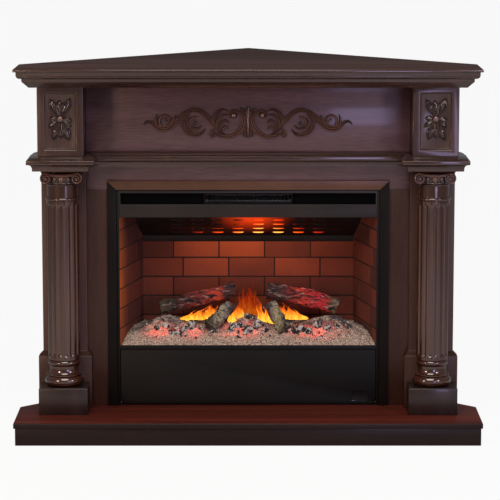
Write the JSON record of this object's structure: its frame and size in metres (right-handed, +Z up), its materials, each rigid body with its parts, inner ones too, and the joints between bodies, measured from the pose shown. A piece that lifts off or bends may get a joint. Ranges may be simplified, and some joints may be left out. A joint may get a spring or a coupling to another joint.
{
  "type": "corner fireplace",
  "caption": "Corner fireplace mantel with fluted columns, carved frieze and an electric insert with logs, canopy and a drop-down access flap.",
  "frame": {"origin": "centre of the bounding box in plan, on the floor under the plinth", "axes": "+Z up; the fire faces -Y; the corner of the room, where the two walls meet, lies at +Y; +X to the right seen from the front"},
  "size_m": [1.176, 0.78, 0.941],
  "materials": {
    "mahogany": "dark stained, satin lacquer",
    "carved_mahogany": "dark stained carving, satin lacquer",
    "raw_board": "unfinished board",
    "bronze": "brushed dark bronze",
    "black_steel": "satin black powder coat",
    "zinc_steel": "zinc coated sheet",
    "brick": "moulded brick effect, matt",
    "ash": "moulded ash and embers",
    "charred_log": "moulded charred bark",
    "aluminium": "mill finish",
    "black_plastic": "moulded, matt",
    "red_plastic": "moulded, glossy",
    "tank_plastic": "tinted, smooth"
  },
  "bodies": {
    "fireplace": {"mantel_shelf": "mahogany", "crown_board": "mahogany", "front_header": "mahogany", "front_stile_left": "mahogany", "front_stile_right": "mahogany", "hearth_slab": "mahogany", "plinth_front": "mahogany", "plinth_side_left": "mahogany", "plinth_side_right": "mahogany", "pedestal_left": "mahogany", "pedestal_right": "mahogany", "pilaster_left": "mahogany", "pilaster_right": "mahogany", "column_left": "mahogany", "column_right": "mahogany", "corner_block_left": "mahogany", "corner_block_right": "mahogany", "frieze_board": "mahogany", "cornice_left": "mahogany", "cornice_right": "mahogany", "cornice_centre": "mahogany", "capital_left": "carved_mahogany", "capital_right": "carved_mahogany", "rosette_left": "carved_mahogany", "rosette_right": "carved_mahogany", "frieze_carving": "carved_mahogany", "wall_board_left": "raw_board", "wall_board_right": "raw_board", "trim_left": "bronze", "trim_right": "bronze", "trim_top": "bronze", "case_side_left": "black_steel", "case_side_right": "black_steel", "case_top": "black_steel", "upper_fascia": "black_steel", "outlet_grille": "black_steel", "canopy": "black_steel", "firebox_floor": "black_steel", "control_panel": "black_steel", "case_back": "zinc_steel", "case_floor": "zinc_steel", "fan_housing": "zinc_steel", "flap_hinge_rod": "zinc_steel", "brick_back": "brick", "brick_side_left": "brick", "brick_side_right": "brick", "ember_bed": "ash", "log_left": "charred_log", "log_right": "charred_log", "log_front_left": "charred_log", "log_front_right": "charred_log", "heating_element": "aluminium", "mist_unit": "black_plastic", "cable_gland": "black_plastic", "water_tank": "tank_plastic"},
    "flap": {"access_flap": "black_steel"},
    "fan": {"fan_rotor": "aluminium"},
    "rocker": {"power_rocker": "red_plastic"},
    "flame_push": {"flame_button": "black_plastic"},
    "heat_push": {"heat_button": "black_plastic"}
  },
  "joints": [
    {"name": "flap_hinge", "type": "hinge", "parent": "fireplace", "child": "flap", "pos_m": [0, -0.171, 0.0652], "axis": [1, 0, 0], "range_deg": [0, 88]},
    {"name": "fan_spin", "type": "hinge", "parent": "fireplace", "child": "fan", "pos_m": [0, -0.1006, 0.5801], "axis": [1, 0, 0], "continuous": true},
    {"name": "power_rock", "type": "hinge", "parent": "fireplace", "child": "rocker", "pos_m": [-0.2722, -0.13, 0.12092], "axis": [1, 0, 0], "range_deg": [0, 16]},
    {"name": "flame_press", "type": "slide", "parent": "fireplace", "child": "flame_push", "axis": [0, 1, 0], "range_m": [0, 0.002], "stiffness_N_per_m": 400, "springref_m": -0.001},
    {"name": "heat_press", "type": "slide", "parent": "fireplace", "child": "heat_push", "axis": [0, 1, 0], "range_m": [0, 0.002], "stiffness_N_per_m": 400, "springref_m": -0.001}
  ]
}
